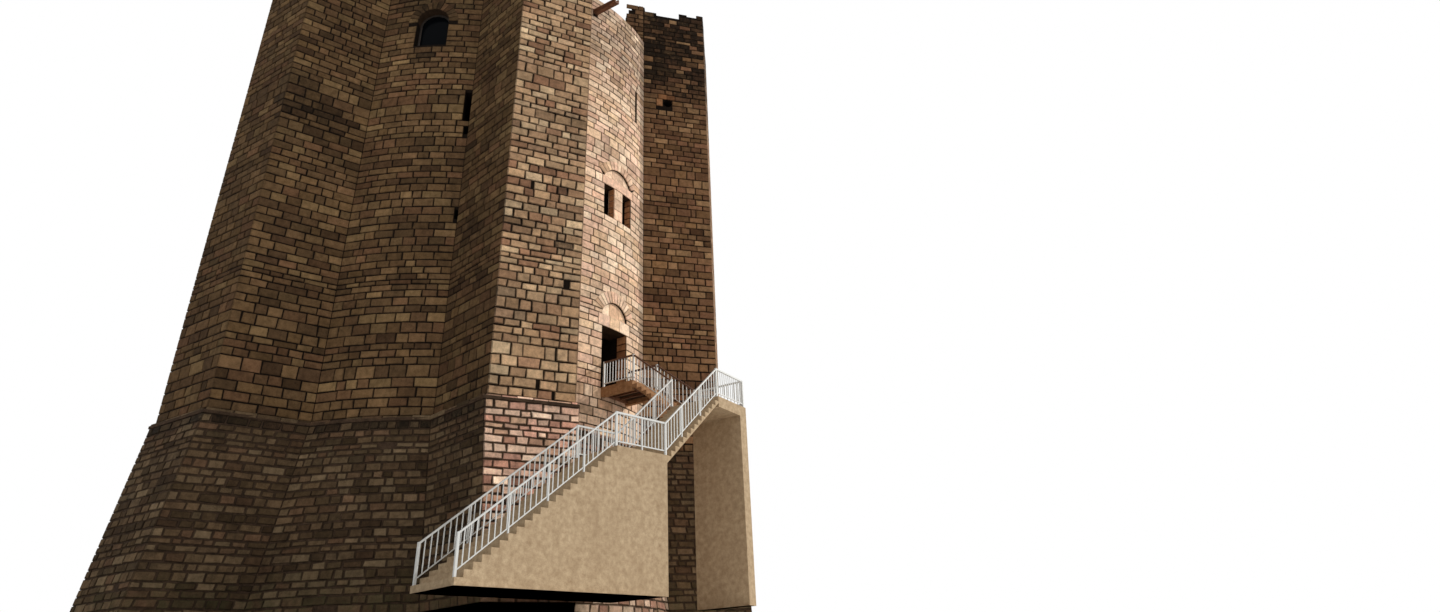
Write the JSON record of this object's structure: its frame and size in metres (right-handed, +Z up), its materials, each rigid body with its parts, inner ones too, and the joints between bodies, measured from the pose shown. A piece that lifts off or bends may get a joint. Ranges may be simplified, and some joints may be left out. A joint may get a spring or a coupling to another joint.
{
  "type": "stone castle keep",
  "caption": "Round stone tower keep with tapering buttresses carried up as turrets, a battered plinth, arched windows and an outside stair with railings.",
  "frame": {"origin": "centre of the keep at ground level", "axes": "+Z up, the doorway faces -Y"},
  "size_m": [26.9906, 27.5842, 31.8],
  "materials": {
    "brown_rail": "white bars with a brown handrail",
    "dressed_stone": "worn dressed sandstone",
    "floor_stone": "worn stone paving",
    "floor_timber": "oiled timber boards",
    "plinth_masonry": "weathered ashlar, pinkish and darker than the wall",
    "roof_lead": "dull grey sheet metal",
    "stair_concrete": "pale cast stone, worn at the edges",
    "wall_masonry": "weathered ashlar in tan, pink and grey-brown blocks with dark joints",
    "weathered_timber": "weathered brown timber",
    "white_rail": "white paint, slightly dull",
    "window_frame": "dark stained timber",
    "window_glass": "dark clear glass"
  },
  "bodies": {
    "root": {"back_balustrade": "white_rail", "basement_floor": "floor_stone", "bay_back": "wall_masonry", "bay_back_left": "wall_masonry", "bay_back_right": "wall_masonry", "bay_right": "wall_masonry", "broken_turret": "wall_masonry", "buttress_back": "wall_masonry", "buttress_back_left": "wall_masonry", "buttress_back_right": "wall_masonry", "buttress_front": "wall_masonry", "buttress_left": "wall_masonry", "buttress_right": "wall_masonry", "chamber_floor": "floor_timber", "door_arch": "dressed_stone", "door_jamb_left": "wall_masonry", "door_jamb_right": "wall_masonry", "door_landing": "stair_concrete", "door_lintel": "dressed_stone", "door_tympanum": "dressed_stone", "drain_spout": "weathered_timber", "entrance_bay_left": "wall_masonry", "entrance_bay_right": "wall_masonry", "entrance_floor": "floor_timber", "entrance_loop_wall": "wall_masonry", "entrance_middle_wall": "wall_masonry", "entrance_sill_wall": "wall_masonry", "entrance_upper_wall": "wall_masonry", "front_balustrade": "white_rail", "hall_floor": "floor_timber", "landing_end_balustrade": "white_rail", "lower_flight": "stair_concrete", "mid_landing": "stair_concrete", "middle_flight": "stair_concrete", "plinth_back": "plinth_masonry", "plinth_back_left": "plinth_masonry", "plinth_back_right": "plinth_masonry", "plinth_front": "plinth_masonry", "plinth_left": "plinth_masonry", "plinth_right": "plinth_masonry", "roof": "roof_lead", "round_window_arch": "dressed_stone", "round_window_frame": "window_frame", "round_window_glass": "window_glass", "top_landing": "stair_concrete", "twin_window_arch": "dressed_stone", "twin_window_lintel": "dressed_stone", "twin_window_mullion": "dressed_stone", "twin_window_tympanum": "dressed_stone", "upper_flight": "stair_concrete", "upper_left_balustrade": "brown_rail", "upper_right_balustrade": "brown_rail", "window_bay_left": "wall_masonry", "window_bay_loop_wall": "wall_masonry", "window_bay_right": "wall_masonry", "window_bay_sill_wall": "wall_masonry", "window_bay_upper_wall": "wall_masonry"}
  },
  "joints": []
}
